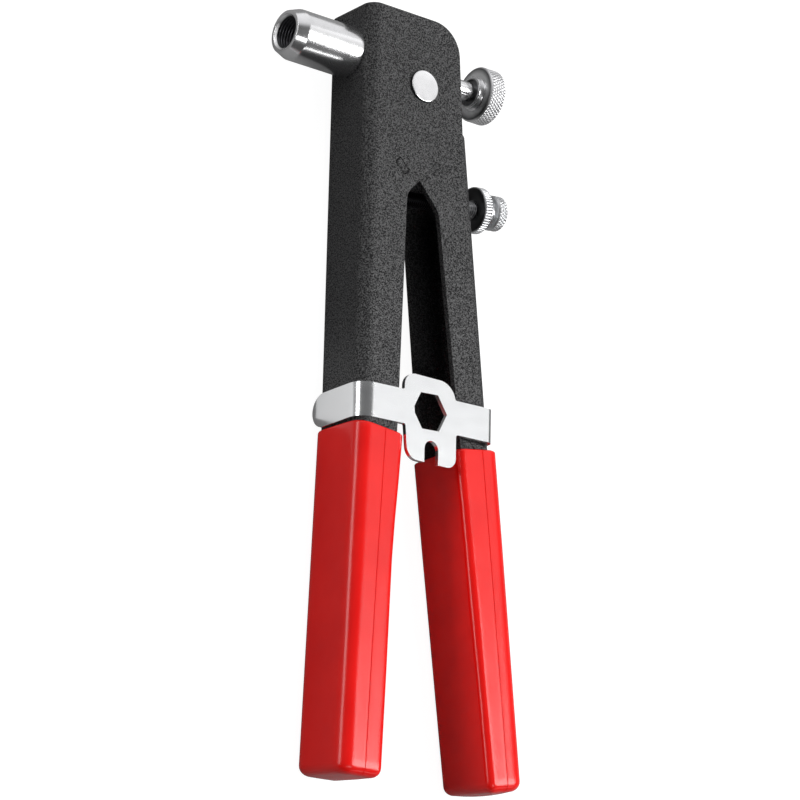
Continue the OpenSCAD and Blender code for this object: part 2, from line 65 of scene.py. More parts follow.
FLAT_DEG = 0.4  # CAD triangles that turn by less than this are one flat face
SAME_RADIUS = 0.01  # mm: an edge of a profile within this of a radius runs at it
ON_BAND = 0.02  # mm: a point within this of a radius belongs to its thread or knurl


class Body(Enum):
    """The moving bodies of the tool."""

    FRAME = "frame"
    LEVER = "lever"
    STOP_SCREW = "stop_screw"
    LOCK_NUT = "lock_nut"
    DRAW = "draw"
    SPINDLE = "spindle"
    CLIP = "clip"


class Slot(Enum):
    """The record's material slots."""

    POWDER_COAT = "powder_coat"
    CHROME = "chrome"
    ZINC = "zinc"
    DARK_STEEL = "dark_steel"
    RED_GRIP = "red_grip"
    CLIP_PLATE = "clip_plate"


Finishes = dict[Slot, bpy.types.Material]


@dataclass(frozen=True)
class Axes:
    """Local axes in the plane of the tool: an origin in mm and a turn about +Z in degrees."""

    origin: tuple[float, float, float]
    turn_deg: float = 0.0

    def to_part(self, points: np.ndarray) -> np.ndarray:
        """Carry local points into the part's frame: turn about +Z, then shift.

        Args:
            points: Array of points in mm, with x, y, z on its last axis.

        Returns:
            The same points in the part's frame.
        """
        a = math.radians(self.turn_deg)
        turn = np.array([[math.cos(a), -math.sin(a), 0.0], [math.sin(a), math.cos(a), 0.0], [0.0, 0.0, 1.0]])
        return points @ turn.T + np.array(self.origin)


PIVOT = Axes((45.0, -9.0, 0.0))
LEVER = Axes(PIVOT.origin, 6.4)
SCREW_DROP = 32.8  # mm from the pivot down the lever to the stop screw
SCREW = Axes(tuple(LEVER.to_part(np.array([0.0, -SCREW_DROP, 0.0])).tolist()), LEVER.turn_deg)
KNEE = Axes((24.4, -115.0, 0.0), -1.8)
SPINDLE = Axes((45.0, 0.0, 0.0))


def grid_quads(rows: int, cols: int, wrap_rows: bool) -> np.ndarray:
    """Quads of a grid whose columns close on themselves.

    Args:
        rows: Number of rows of points.
        cols: Number of points round each row.
        wrap_rows: Whether the last row joins the first.

    Returns:
        An array of four vertex numbers a face, numbered row by row.
    """
    r = np.arange(rows if wrap_rows else rows - 1)[:, None]
    c = np.arange(cols)[None, :]
    below, beside = (r + 1) % rows, (c + 1) % cols
    corners = (r * cols + c, r * cols + beside, below * cols + beside, below * cols + c)
    return np.stack(np.broadcast_arrays(*corners), -1).reshape(-1, 4)


def piece_from_grid(name: str, grid: np.ndarray, wrap_rows: bool, sharp_deg: float,
                    hollow: np.ndarray | None = None) -> bpy.types.Object:
    """Make a closed piece from a grid of points in mm.

    Args:
        name: Name of the piece.
        grid: Points as rows x columns x 3, in the part's frame.
        wrap_rows: Whether the last row joins the first.
        sharp_deg: Edges that turn by more than this stay sharp.
        hollow: Painted shade of each point, from 0 to 1, deepest in grooves and bores, for the finish.

    Returns:
        The new object, at the origin.
    """
    rows, cols = grid.shape[:2]
    mesh = bpy.data.meshes.new(name)
    mesh.from_pydata((grid.reshape(-1, 3) * MM).tolist(), [], grid_quads(rows, cols, wrap_rows).tolist())
    if hollow is not None:
        layer = mesh.attributes.new(PAINTED_SHADE, "FLOAT", "POINT")
        layer.data.foreach_set("value", np.ascontiguousarray(hollow, np.float32).ravel())
    work = bmesh.new()
    work.from_mesh(mesh)
    bmesh.ops.remove_doubles(work, verts=work.verts, dist=SAME_POINT)
    bmesh.ops.recalc_face_normals(work, faces=work.faces)
    work.to_mesh(mesh)
    work.free()
    mesh.shade_smooth()
    mesh.set_sharp_from_angle(angle=math.radians(sharp_deg))
    piece = bpy.data.objects.new(name, mesh)
    bpy.context.scene.collection.objects.link(piece)
    return piece


def settle(piece: bpy.types.Object, body: Body, slot: Slot, finishes: Finishes, node: str) -> None:
    """Give a piece its finish, its body and the CAD node it stands for, and report it.

    Args:
        piece: The finished piece.
        body: The body it moves with.
        slot: The record's slot of its finish.
        finishes: The materials by slot.
        node: The CAD node that it replaces.
    """
    piece.data.materials.clear()
    piece.data.materials.append(finishes[slot])
    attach(piece, body.value)
    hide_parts(node)
    LOG.info("%s rides on %s in %s", piece.name, body.value, slot.value)


def wave(phase: np.ndarray) -> np.ndarray:
    """Triangle wave of period 1: 0 at whole numbers and 1 half-way between them."""
    return 1.0 - np.abs(2.0 * (phase - np.floor(phase)) - 1.0)


def smoothstep(low: float, high: float, x: np.ndarray) -> np.ndarray:
    """Smooth rise from 0 at low to 1 at high."""
    t = np.clip((x - low) / (high - low), 0.0, 1.0)
    return t * t * (3.0 - 2.0 * t)


def rounded_profile(rows: Sequence[tuple[float, float, float]], steps: int = 5) -> np.ndarray:
    """Closed profile with each corner rounded by a quadratic arc between its two tangent points.

    Args:
        rows: Corners as (along, radius, rounding), in order round the profile.
        steps: Points on each arc, less one.

    Returns:
        The profile's points as an array of (along, radius).
    """
    at = np.array(rows, float)
    p, size = at[:, :2], at[:, 2:3]
    back, ahead = np.roll(p, 1, 0) - p, np.roll(p, -1, 0) - p
    far_back, far_ahead = (np.linalg.norm(v, axis=1, keepdims=True) for v in (back, ahead))
    most = 0.48  # share of an edge that one corner's rounding may take
    start = p + back / far_back * np.minimum(size, most * far_back)
    stop = p + ahead / far_ahead * np.minimum(size, most * far_ahead)
    t = np.linspace(0.0, 1.0, steps + 1)[None, :, None]
    arc = (1 - t) ** 2 * start[:, None] + 2 * t * (1 - t) * p[:, None] + t**2 * stop[:, None]
    keep = np.where(at[:, 2:] > 0, steps + 1, 1)
    return arc[np.arange(steps + 1) < keep]


def refined(profile: np.ndarray, step: float, radii: Sequence[float]) -> np.ndarray:
    """Closed profile with points added where it runs at one of the given radii, for thread or knurl.

    Args:
        profile: Points of (along, radius).
        step: Longest step left there.
        radii: The radii of the worked bands.

    Returns:
        The finer profile.
    """
    ahead = np.roll(profile, -1, 0)
    worked = [(np.abs(profile[:, 1] - r) < SAME_RADIUS) & (np.abs(ahead[:, 1] - r) < SAME_RADIUS) for r in radii]
    cuts = np.maximum(1, np.ceil(np.linalg.norm(ahead - profile, axis=1) / step)).astype(int)
    cuts = np.where(np.any(worked, axis=0), cuts, 1)
    order = np.arange(cuts.sum()) - np.repeat(np.cumsum(cuts) - cuts, cuts)
    spans, counts = np.repeat(ahead - profile, cuts, axis=0), np.repeat(cuts, cuts)
    return np.repeat(profile, cuts, axis=0) + spans * order[:, None] / counts[:, None]


Relief = Callable[[np.ndarray, np.ndarray, np.ndarray], np.ndarray]


def turned(profile: np.ndarray, cols: int, relief: Relief | None = None) -> tuple[np.ndarray, np.ndarray]:
    """Points of a turned piece about the local x axis: the profile carried once round.

    Args:
        profile: Closed profile of (along, radius).
        cols: Points round the axis.
        relief: Gives what is added to the radius from along, radius and angle.

    Returns:
        Points as rows x columns x 3, and how deep each lies in the relief, from 0 to 1.
    """
    angle = np.linspace(0.0, TURN, cols, endpoint=False)[None, :]
    along, radius = profile[:, :1], profile[:, 1:]
    change = relief(along, radius, angle) if relief else np.zeros((len(profile), cols))
    r = np.maximum(radius + change, 0.0)
    depth = np.abs(change) / max(float(np.abs(change).max()), 1e-6)
    return np.stack(np.broadcast_arrays(along, r * np.cos(angle), r * np.sin(angle)), -1), depth


@dataclass(frozen=True)
class Thread:
    """A V thread between two places along an axis; the crests stay at the stated radius.

    A depth above 0 cuts outwards into the wall of a bore, and one below 0 cuts into a screw.
    """

    start: float
    stop: float
    radius: float
    depth: float
    pitch: float
    slope: float = 1.3
    crest: float = 0.2

    def relief(self, along: np.ndarray, radius: np.ndarray, angle: np.ndarray) -> np.ndarray:
        """Radius change of the groove: a clipped triangle wave along a helix, fading at both ends.

        Args:
            along: Place along the axis.
            radius: Plain radius.
            angle: Angle round the axis.

        Returns:
            The groove's depth, signed away from the crests.
        """
        on = (np.abs(radius - self.radius) < ON_BAND) * smoothstep(self.start, self.start + self.pitch, along)
        on = on * (1.0 - smoothstep(self.stop - self.pitch, self.stop, along))
        groove = np.clip(self.slope * wave(along / self.pitch - angle / TURN) - self.crest, 0.0, 1.0)
        return self.depth * on * groove


@dataclass(frozen=True)
class Knurl:
    """A knurled band: diamonds from two crossing helices, or straight ribs where lead is 0."""

    start: float
    stop: float
    radius: float
    depth: float
    teeth: int
    lead: float
    fade: float = 0.25
    slope: float = 1.7

    def relief(self, along: np.ndarray, radius: np.ndarray, angle: np.ndarray) -> np.ndarray:
        """Radius change of the knurl: the lower of two triangle waves, each on its own helix.

        Args:
            along: Place along the axis.
            radius: Plain radius.
            angle: Angle round the axis.

        Returns:
            Zero on the tips and minus the depth in the grooves.
        """
        on = (np.abs(radius - self.radius) < ON_BAND) * smoothstep(self.start, self.start + self.fade, along)
        on = on * (1.0 - smoothstep(self.stop - self.fade, self.stop, along))
        spin = self.teeth * angle / TURN
        tip = np.minimum(wave(spin + self.lead * along), wave(spin - self.lead * along))
        return -self.depth * on * (1.0 - np.clip(self.slope * tip, 0.0, 1.0))


def set_stops(ramp: bpy.types.ColorRamp, stops: Sequence[tuple[float, Sequence[float]]]) -> None:
    """Give a colour ramp its stops.

    Args:
        ramp: The ramp, with its first two stops in place.
        stops: Pairs of (place, colour).
    """
    for i, (place, colour) in enumerate(stops):
        stop = ramp.elements[i] if i < 2 else ramp.elements.new(place)
        stop.position = place
        stop.color = (*colour, 1.0)


class NodeBench:
    """Builds one material's node tree."""

    def __init__(self, name: str) -> None:
        """Start a material with a Principled shader and its output.

        Args:
            name: Name of the material.
        """
        self.material = bpy.data.materials.new(name)
        self.material.use_nodes = True
        self.tree = self.material.node_tree
        self.tree.nodes.clear()
        self.shader = self.add("ShaderNodeBsdfPrincipled")
        out = self.add("ShaderNodeOutputMaterial")
        self.join(self.shader, "BSDF", out, "Surface")
        self.where = self.add("ShaderNodeTexCoord")

    def add(self, kind: str, **inputs: object) -> bpy.types.Node:
        """Add a node and set its named input sockets.

        Args:
            kind: The node's type.
            inputs: Values by socket name, with _ for a space.

        Returns:
            The node.
        """
        node = self.tree.nodes.new(kind)
        for key, value in inputs.items():
            node.inputs[key.replace("_", " ")].default_value = value
        return node

    def join(self, a: bpy.types.Node, out: str, b: bpy.types.Node, into: str) -> None:
        """Link an output of one node to an input of another."""
        self.tree.links.new(a.outputs[out], b.inputs[into])

    def noise(self, scale: float, detail: float,
              stretch: tuple[float, float, float] | None = None) -> bpy.types.Node:
        """Noise on Object coordinates.

        Args:
            scale: Waves in a metre.
            detail: Octaves of finer noise.
            stretch: What each coordinate is multiplied by first, if anything.

        Returns:
            The noise node.
        """
        node = self.add("ShaderNodeTexNoise", Scale=scale, Detail=detail)
        source, socket = self.where, "Object"
        if stretch:
            source, socket = self.add("ShaderNodeMapping", Scale=stretch), "Vector"
            self.join(self.where, "Object", source, "Vector")
        self.join(source, socket, node, "Vector")
        return node

    def ramp(self, source: bpy.types.Node, out: str,
             stops: Sequence[tuple[float, Sequence[float]]]) -> bpy.types.Node:
        """Colour ramp over a value.

        Args:
            source: The node that gives the value.
            out: Its output.
            stops: Pairs of (place, colour).

        Returns:
            The ramp node.
        """
        node = self.add("ShaderNodeValToRGB")
        set_stops(node.color_ramp, stops)
        self.join(source, out, node, "Fac")
        return node

    def spread(self, source: bpy.types.Node, out: str, low: float, high: float) -> bpy.types.Node:
        """Map a value from 0..1 to low..high.

        Args:
            source: The node that gives the value.
            out: Its output.
            low: Result at 0.
            high: Result at 1.

        Returns:
            The mapping node.
        """
        node = self.add("ShaderNodeMapRange", To_Min=low, To_Max=high)
        self.join(source, out, node, "Value")
        return node

    def bump(self, source: bpy.types.Node, out: str, strength: float, distance: float) -> None:
        """Bump the shader's normal by a value.

        Args:
            source: The node that gives the value.
            out: Its output.
            strength: Share of the bump that shows.
            distance: Height of the bump in metres.
        """
        node = self.add("ShaderNodeBump", Strength=strength, Distance=distance)
        self.join(source, out, node, "Height")
        self.join(node, "Normal", self.shader, "Normal")


@dataclass(frozen=True)
class PowderCoat:
    """Black powder coat with a fine pebbled grain, whose tips are paler and shinier than its ground."""

    dark: tuple[float, float, float] = (0.018, 0.018, 0.0186)
    pale: tuple[float, float, float] = (0.043, 0.043, 0.0442)
    grain: float = 2300.0
    smooth: float = 0.34
    rough: float = 0.58
    dull: float = 0.03
    shiny: float = 0.9
    height: float = 0.0003

    def material(self) -> bpy.types.Material:
        """Speckled charcoal: colour, gloss, shine and bump all follow one fine noise.

        Returns:
            The material.
        """
        bench = NodeBench("powder_coat")
        grain = bench.noise(self.grain, 2.5)
        tint = bench.ramp(grain, "Fac", [(0.42, self.dark), (0.62, self.pale)])
        bench.join(tint, "Color", bench.shader, "Base Color")
        rough = bench.spread(grain, "Fac", self.smooth, self.rough)
        bench.join(rough, "Result", bench.shader, "Roughness")
        shine = bench.ramp(grain, "Fac", [(0.40, (self.dull,) * 3), (0.64, (self.shiny,) * 3)])
        bench.join(shine, "Color", bench.shader, "Specular IOR Level")
        bench.bump(grain, "Fac", 1.0, self.height)
        return bench.material


@dataclass(frozen=True)
class PlatedMetal:
    """Plated or machined metal, with faint blotches or drawn lines in its gloss."""

    name: str
    colour: tuple[float, float, float]
    smooth: float
    rough: float
    scale: float = 300.0
    stretch: tuple[float, float, float] | None = None
    bump: float = 0.03
    mottle: float = 0.92
    # groove: colour of the painted shade in grooves, bores and shaded faces
    groove: tuple[float, float, float] = (0.07, 0.07, 0.075)
    satin: float = 0.2
    height: float = 0.0001

    def material(self) -> bpy.types.Material:
        """Metal whose gloss and bump wander with a noise; a worked surface is rougher, and painted shade darkens its
        colour.

        Returns:
            The material.
        """
        bench = NodeBench(self.name)
        bench.shader.inputs["Metallic"].default_value = 1.0
        blot = bench.noise(self.scale, 4.0, self.stretch)
        shade = tuple(self.mottle * c for c in self.colour)
        tint = bench.ramp(blot, "Fac", [(0.3, shade), (0.7, self.colour)])
        hollow = bench.add("ShaderNodeAttribute")
        hollow.attribute_name = PAINTED_SHADE
        # Painted shade: the attribute darkens the colour towards the groove colour.
        dull = bench.ramp(hollow, "Fac", [(0.22, (1.0, 1.0, 1.0)), (0.62, self.groove)])
        paint = bench.add("ShaderNodeMixRGB", Fac=1.0)
        paint.blend_type = "MULTIPLY"
        bench.join(tint, "Color", paint, "Color1")
        bench.join(dull, "Color", paint, "Color2")
        bench.join(paint, "Color", bench.shader, "Base Color")
        rough = bench.spread(blot, "Fac", self.smooth, self.rough)
        worked = bench.add("ShaderNodeMapRange", From_Max=SATIN, To_Max=self.satin)
        bench.join(hollow, "Fac", worked, "Value")
        gloss = bench.add("ShaderNodeMath")
        bench.tree.links.new(rough.outputs["Result"], gloss.inputs[0])
        bench.tree.links.new(worked.outputs["Result"], gloss.inputs[1])
        bench.join(gloss, "Value", bench.shader, "Roughness")
        bench.bump(blot, "Fac", self.bump, self.height)
        return bench.material


@dataclass(frozen=True)
class MouldedGrip:
    """Glossy red soft plastic with a slight wave left by the mould."""

    deep: tuple[float, float, float] = (0.80, 0.006, 0.005)
    bright: tuple[float, float, float] = (0.88, 0.009, 0.007)
    waves: float = 70.0
    grain: float = 900.0
    smooth: float = 0.17
    rough: float = 0.27
    shine: float = 0.45
    bump: float = 0.08
    height: float = 0.001

    def material(self) -> bpy.types.Material:
        """Red with a soft mottling, a gloss that wanders and a shallow wave.

        Returns:
            The material.
        """
        bench = NodeBench("red_grip")
        blot = bench.noise(self.waves, 2.0)
        tint = bench.ramp(blot, "Fac", [(0.3, self.deep), (0.7, self.bright)])
        bench.join(tint, "Color", bench.shader, "Base Color")
        fine = bench.noise(self.grain, 3.0)
        rough = bench.spread(fine, "Fac", self.smooth, self.rough)
        bench.join(rough, "Result", bench.shader, "Roughness")
        bench.shader.inputs["Specular IOR Level"].default_value = self.shine
        bench.bump(blot, "Fac", self.bump, self.height)
        return bench.material


def bevelled_copy(node: bpy.types.Object, name: str, width: float, angle_deg: float = 38.0) -> bpy.types.Object:
    """Copy a CAD node, merge its triangles into flat faces and round its edges.

    Args:
        node: The CAD node, which stays as it is.
        name: Name of the copy.
        width: Width of the rounding in mm.
        angle_deg: Edges that turn by more than this are rounded.

    Returns:
        The copy.
    """
    mesh = node.data.copy()
    mesh.name = name
    work = bmesh.new()
    work.from_mesh(mesh)
    bmesh.ops.remove_doubles(work, verts=work.verts, dist=SAME_CAD_POINT)
    bmesh.ops.dissolve_limit(work, angle_limit=math.radians(FLAT_DEG), verts=work.verts, edges=work.edges)
    work.to_mesh(mesh)
    work.free()
    mesh.shade_smooth()
    mesh.set_sharp_from_angle(angle=math.radians(angle_deg))
    piece = bpy.data.objects.new(name, mesh)
    bpy.context.scene.collection.objects.link(piece)
    bevel = piece.modifiers.new("rounding", "BEVEL")
    bevel.width = width * MM
    bevel.segments = 2
    bevel.limit_method = "ANGLE"
    bevel.angle_limit = math.radians(angle_deg)
    bevel.harden_normals = True
    bevel.miter_outer = "MITER_ARC"
    flatten = piece.modifiers.new("flat_faces", "WEIGHTED_NORMAL")
    flatten.weight = 100
    flatten.keep_sharp = True
    return piece


@dataclass
class PressedSheets:
    """The pressed frame and lever, the wrench clip and the small machined pieces between them."""

    roundings: dict[str, tuple[Body, Slot, float]] = field(default_factory=lambda: {
        "front_frame": (Body.FRAME, Slot.POWDER_COAT, 0.3),
        "rear_lever": (Body.LEVER, Slot.POWDER_COAT, 0.2),
        "wrench_clip": (Body.CLIP, Slot.CLIP_PLATE, 0.22),
        "stop_bar": (Body.FRAME, Slot.POWDER_COAT, 0.3),
        "nose_nut": (Body.FRAME, Slot.ZINC, 0.2),
        "pivot_clip": (Body.FRAME, Slot.ZINC, 0.08),
        "screw_bush": (Body.LEVER, Slot.ZINC, 0.25),
        "draw_block": (Body.DRAW, Slot.DARK_STEEL, 0.3),
        "trunnion_pins": (Body.DRAW, Slot.DARK_STEEL, 0.2),
        "thrust_washers": (Body.DRAW, Slot.ZINC, 0.15),
        "spindle_collar": (Body.SPINDLE, Slot.ZINC, 0.25),
        "collar_pin": (Body.SPINDLE, Slot.DARK_STEEL, 0.15),
    })
    hairline: float = 0.2
    forward: float = 1.9

    @staticmethod
    def loosen(mesh: bpy.types.Mesh, gap: float) -> None:
        """Draw a mesh's outline in towards its middle, which leaves a hairline round it.

        Args:
            mesh: The mesh to change.
            gap: Width of the hairline in mm.
        """
        flat = np.empty(3 * len(mesh.vertices), np.float32)
        mesh.vertices.foreach_get("co", flat)
        points = flat.reshape(-1, 3)
        low, high = points[:, :2].min(0), points[:, :2].max(0)
        middle = (low + high) / 2
        points[:, :2] = middle + (points[:, :2] - middle) * (1.0 - 2.0 * gap * MM / (high - low).max())
        mesh.vertices.foreach_set("co", points.ravel())
        mesh.update()

    @staticmethod
    def deepen_far_side(mesh: bpy.types.Mesh, depth: float) -> None:
        """Let the front edge of the lever's far plate stand further forward towards the grip.

        The shift grows evenly down the lever, from 0 at the start to the full depth at the knee, and stays so below.

        Args:
            mesh: The lever's mesh.
            depth: How far the edge moves at the grip's mouth and below it, in mm.
        """
        start, knee = 45.0, 106.0  # mm down the lever from its pivot
        front_edge, far_plate = 12.0, -5.5  # mm: only points ahead of the first and beyond the second move
        turn = math.radians(LEVER.turn_deg)
        behind = np.array([math.cos(turn), math.sin(turn), 0.0])
        down = np.array([math.sin(turn), -math.cos(turn), 0.0])
        cut = bmesh.new()
        cut.from_mesh(mesh)
        bmesh.ops.bisect_plane(cut, geom=cut.verts[:] + cut.edges[:] + cut.faces[:],
                               plane_co=(np.array(LEVER.origin) + knee * down) * MM, plane_no=down)
        cut.to_mesh(mesh)
        cut.free()
        flat = np.empty(3 * len(mesh.vertices), np.float32)
        mesh.vertices.foreach_get("co", flat)
        points = flat.reshape(-1, 3) / MM
        local = points - np.array(LEVER.origin)
        share = np.clip((local @ down - start) / (knee - start), 0.0, 1.0)
        share = share * (local @ behind < front_edge) * (points[:, 2] < far_plate)
        points = points - depth * share[:, None] * behind
        mesh.vertices.foreach_set("co", (points * MM).astype(np.float32).ravel())
        mesh.update()

    def build(self, nodes: dict[str, bpy.types.Object], finishes: Finishes) -> None:
        """Round the edges of each pressed or machined piece.

        Args:
            nodes: The frame's CAD nodes.
            finishes: The materials by slot.
        """
        for node, (body, slot, width) in self.roundings.items():
            piece = bevelled_copy(nodes[node], f"rounded_{node}", width)
            if node == "stop_bar":
                self.loosen(piece.data, self.hairline)
            if node == "rear_lever":
                self.deepen_far_side(piece.data, self.forward)
            settle(piece, body, slot, finishes, node)


@dataclass
class Nose:
    """The chrome nose sleeve with its bevelled mouth and inner thread."""

    length: float = 24.4
    radius: float = 8.0
    face_radius: float = 6.8
    bevel: float = 3.6
    bore: float = 4.93
    thread_long: float = 13.0
    thread_depth: float = 0.5
    pitch: float = 1.0
    guide: float = 4.6
    shank: float = 6.5
    rear: float = 29.6

    def profile(self) -> np.ndarray:
        """Closed half section, from the mouth along the outside and back through the bore.

        Returns:
            The profile's points of (along, radius).
        """
        return refined(rounded_profile([
            (0.0, self.bore + 0.75, 0.12),
            (0.0, self.face_radius - 0.1, 0.25),
            (0.45, self.face_radius + 0.05, 0.15),
            (self.bevel, self.radius, 0.45),
            (self.length, self.radius, 0.3),
            (self.length, self.shank, 0.0),
            (self.rear, self.shank, 0.3),
            (self.rear, self.guide, 0.3),
            (self.thread_long + 0.4, self.guide, 0.0),
            (self.thread_long, self.bore, 0.0),
            (0.75, self.bore, 0.0)]), 0.125, [self.bore])

    def build(self, finishes: Finishes) -> None:
        """Turn the sleeve with its thread and settle it on the frame.

        Args:
            finishes: The materials by slot.
        """
        thread = Thread(0.3, self.thread_long, self.bore, self.thread_depth, self.pitch)
        profile = self.profile()
        grid, depth = turned(profile, 96, thread.relief)
        # Painted shade: the bore is darkened from just inside its mouth, and most in the grooves of the thread.
        inside = smoothstep(0.3, 1.2, profile[:, :1]) * (profile[:, 1:] < self.bore + 0.3)
        depth = inside * (0.8 + 0.2 * depth)
        settle(piece_from_grid("threaded_nose", grid, True, 28.0, depth), Body.FRAME, Slot.CHROME,
               finishes, "nose_sleeve")


@dataclass
class PivotPin:
    """The pivot pin with its flat round head and grooved tail."""

    radius: float = 3.5
    half: float = 11.0
    head_radius: float = 5.0
    head: float = 1.0
    crown_radius: float = 3.0
    tail: float = 0.9
    clip: float = 0.6
    groove: float = 0.7
    wall_shade: float = 0.6

    def profile(self) -> np.ndarray:
        """Closed half section along the pin, from its tail to the crown of its head.

        Returns:
            The profile's points of (along, radius).
        """
        neck = self.radius - self.groove
        return rounded_profile([
            (-self.half - self.tail, 0.0, 0.0),
            (-self.half - self.tail, self.radius, 0.2),
            (-self.half - self.clip, self.radius, 0.0),
            (-self.half - self.clip, neck, 0.0),
            (-self.half, neck, 0.0),
            (-self.half, self.radius, 0.0),
            (self.half, self.radius, 0.0),
            (self.half, self.head_radius, 0.12),
            (self.half + self.head * 0.9, self.head_radius, 0.2),
            (self.half + self.head, self.crown_radius, 1.5),
            (self.half + self.head, 0.0, 0.0)])

    def build(self, finishes: Finishes) -> None:
        """Turn the pin, stand it along +Z and settle it on the frame.

        Args:
            finishes: The materials by slot.
        """
        profile = self.profile()
        grid, depth = turned(profile, 72)
        # Painted shade: the side wall of the head is darkened, standing in for the shadow round it.
        wall = (profile[:, 1:] > self.head_radius - 0.15) * (profile[:, :1] < self.half + 0.8 * self.head)
        depth = np.maximum(depth, self.wall_shade * wall)
        settle(piece_from_grid("pivot_head", PIVOT.to_part(grid[..., [1, 2, 0]]), True, 30.0, depth), Body.FRAME,
               Slot.CHROME, finishes, "pivot_pin")


@dataclass
class KnobAndSpindle:
    """The drawn spindle with its mandrel thread, and the diamond-knurled knob on its rear end."""

    front: float = -24.0
    shoulder: float = -7.3
    guide: float = 4.55
    shaft: float = 3.0
    socket: float = 2.5
    socket_depth: float = 14.0
    thread_depth: float = 0.35
    pitch: float = 0.8
    knob_front: float = 28.3
    knob_thick: float = 6.3
    knob_radius: float = 8.85
    hub_radius: float = 5.2
    hub: float = 1.5
    knurl_depth: float = 0.26
    knurl_teeth: int = 52
    knurl_lead: float = 0.62
    groove_shade: float = 0.58
    face_shade: float = 0.56

    def spindle_profile(self) -> np.ndarray:
        """Closed half section of the spindle, from its socket's mouth round to the socket's floor.

        Returns:
            The profile's points of (along, radius).
        """
        end = self.knob_front + self.knob_thick
        floor = self.front + self.socket_depth
        return refined(rounded_profile([
            (self.front, self.socket + 0.45, 0.0),
            (self.front, self.guide, 0.35),
            (self.shoulder, self.guide, 0.3),
            (self.shoulder, self.shaft, 0.15),
            (end, self.shaft, 0.35),
            (end, 0.0, 0.0),
            (floor + 1.0, 0.0, 0.0),
            (floor, self.socket, 0.0),
            (self.front + 0.45, self.socket, 0.0)]), 0.1, [self.socket])

    def knob_profile(self) -> np.ndarray:
        """Closed half section of the knob: hub with its counterbore, flat face, rim and rear.

        Returns:
            The profile's points of (along, radius).
        """
        front, rear, r = self.knob_front, self.knob_front + self.knob_thick, self.knob_radius
        bore = self.shaft + 0.02
        return refined(rounded_profile([
            (front - self.hub + 0.6, bore, 0.0),
            (front - self.hub + 0.6, self.shaft + 1.1, 0.15),
            (front - self.hub, self.shaft + 1.1, 0.1),
            (front - self.hub, self.hub_radius, 0.25),
            (front + 0.35, self.hub_radius, 0.3),
            (front + 0.35, r - 0.65, 0.1),
            (front + 1.0, r, 0.12),
            (rear - 0.5, r, 0.15),
            (rear, r - 0.5, 0.2),
            (rear, bore, 0.0)]), 0.1, [r])

    def build(self, finishes: Finishes) -> None:
        """Turn the spindle and the knob and settle both on the spindle's body.

        Args:
            finishes: The materials by slot.
        """
        thread = Thread(self.front, self.front + self.socket_depth, self.socket, self.thread_depth, self.pitch)
        # Painted shade: the socket thread's grooves are darkened by their depth.
        spindle, depth = turned(self.spindle_profile(), 64, thread.relief)
        settle(piece_from_grid("drawn_spindle", SPINDLE.to_part(spindle), True, 30.0, depth), Body.SPINDLE,
               Slot.CHROME, finishes, "spindle")
        knurl = Knurl(self.knob_front + 0.9, self.knob_front + self.knob_thick - 0.45, self.knob_radius,
                      self.knurl_depth, self.knurl_teeth, self.knurl_lead)
        profile = self.knob_profile()
        knob, depth = turned(profile, 12 * self.knurl_teeth, knurl.relief)
        # Painted shade: the front face is painted darker than the hub, and the knurl's grooves are darkened; the rim
        # is worked satin between them.
        along, radius = profile[:, :1] - self.knob_front, profile[:, 1:]
        face = (along < 0.5) * (radius < self.knob_radius - 0.5) * (np.abs(radius - self.hub_radius) > 0.3)
        rim = np.abs(radius - self.knob_radius) < 0.6
        depth = np.maximum(np.maximum(SATIN * rim, self.groove_shade * depth), self.face_shade * face)
        settle(piece_from_grid("knurled_knob", SPINDLE.to_part(knob), True, 55.0, depth), Body.SPINDLE, Slot.CHROME,
               finishes, "spindle_knob")


